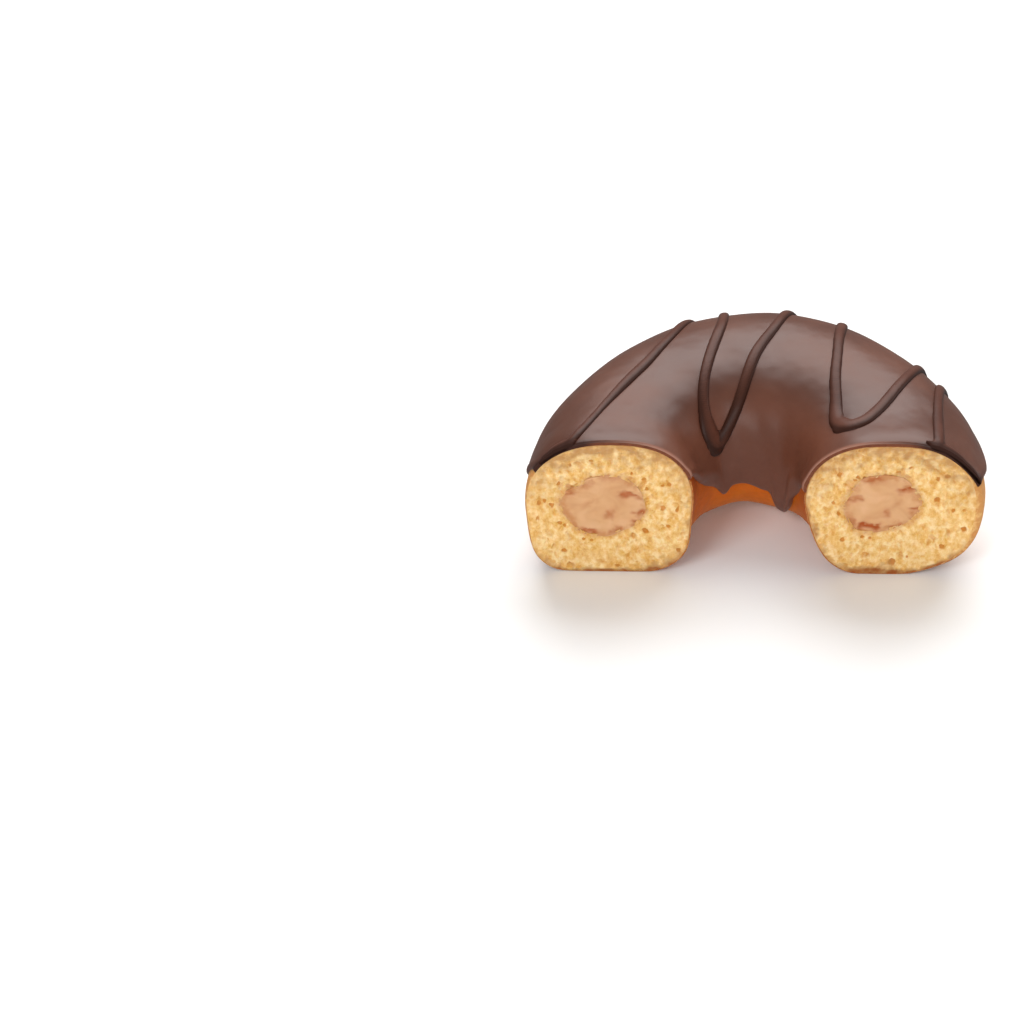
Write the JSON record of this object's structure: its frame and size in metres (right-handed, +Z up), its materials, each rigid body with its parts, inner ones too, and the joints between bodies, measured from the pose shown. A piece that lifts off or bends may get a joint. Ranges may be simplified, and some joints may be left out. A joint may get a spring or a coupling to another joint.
{
  "type": "filled doughnut half",
  "caption": "Half of a thick iced ring doughnut, cut straight across to show pale crumb and a core of creamy filling, with zigzag drizzle on the icing.",
  "frame": {"origin": "under the middle of the half's bounding box, on the table", "axes": "+Z up; the two cut faces look along -Y; +X runs across both legs of the half, from the left cut face to the right one"},
  "size_m": [0.0916, 0.0482, 0.0382],
  "materials": {
    "dough": "matt fried wheat dough, golden crust outside and open pale crumb on the cut faces",
    "filling": "smooth, slightly moist light brown cream",
    "icing": "satin milk cocoa icing with darker glossy drizzle"
  },
  "bodies": {
    "root": {"dough": "dough", "filling": "filling", "icing": "icing"}
  },
  "joints": []
}
